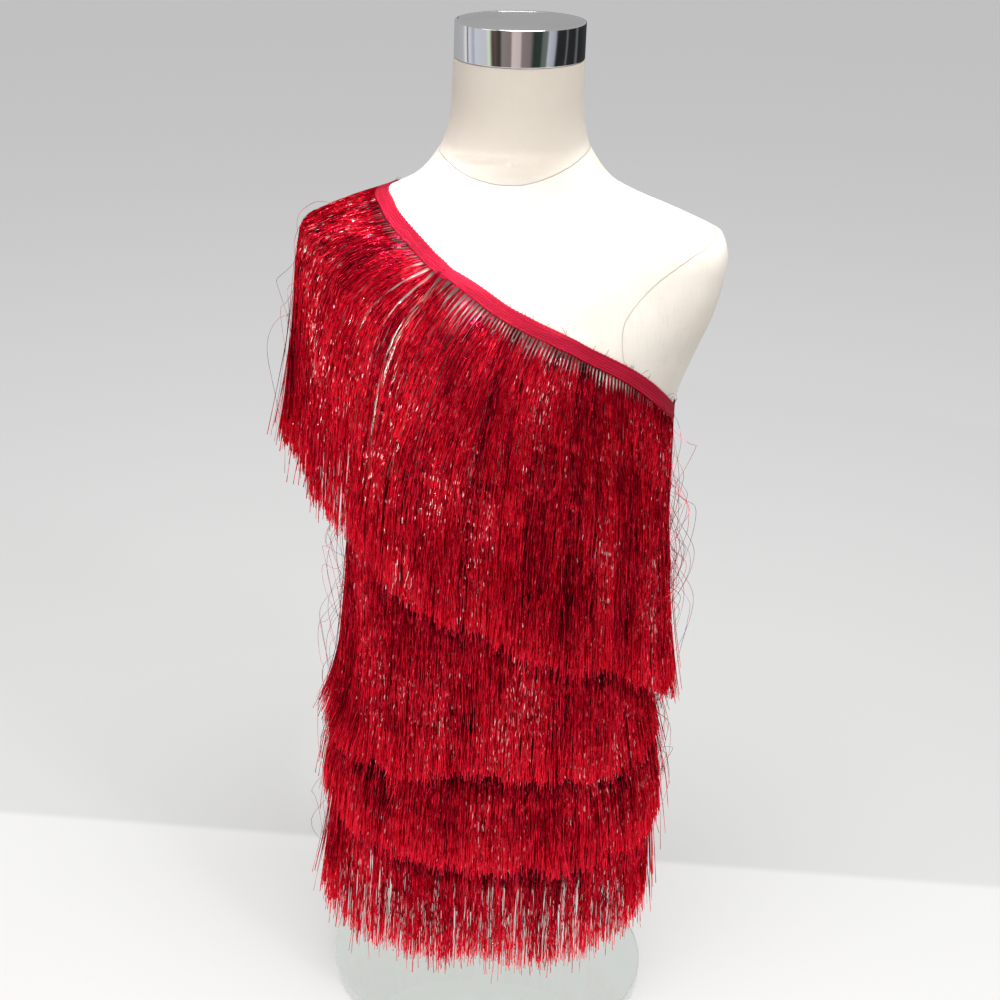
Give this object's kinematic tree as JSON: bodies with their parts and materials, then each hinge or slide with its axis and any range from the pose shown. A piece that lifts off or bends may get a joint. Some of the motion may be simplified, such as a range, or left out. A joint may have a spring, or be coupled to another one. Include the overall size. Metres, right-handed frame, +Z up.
{
  "type": "one-shoulder fringe dress on a dress form",
  "caption": "One-shoulder dress of tiered metallic fringe trim, worn by a limbless dress form with a chrome neck cap, a pole and a round glass base plate.",
  "frame": {"origin": "on the floor, under the middle of the base plate and on the pole's axis", "axes": "+Z up along the pole, -Y out of the wearer's front, +X to the wearer's left, which is the bare shoulder's side"},
  "size_m": [0.3812, 0.3, 0.909],
  "materials": {
    "linen": "off-white woven cover, matte",
    "chrome": "polished",
    "glass": "clear green-tinted glass, polished",
    "tape": "crimson ribbed woven tape",
    "tinsel": "metallic red tinsel strands, glossy"
  },
  "bodies": {
    "root": {"torso": "linen", "neck_cap": "chrome", "pole": "chrome", "base_plate": "glass", "tape_shoulder_back": "tape", "fringe_shoulder_back": "tinsel", "tape_shoulder_front": "tape", "fringe_shoulder_front": "tinsel", "tape_bust_back": "tape", "fringe_bust_back": "tinsel", "tape_bust_front": "tape", "fringe_bust_front": "tinsel", "tape_waist_back": "tape", "fringe_waist_back": "tinsel", "tape_waist_front": "tape", "fringe_waist_front": "tinsel", "tape_hip_back": "tape", "fringe_hip_back": "tinsel", "tape_hip_front": "tape", "fringe_hip_front": "tinsel"}
  },
  "joints": []
}
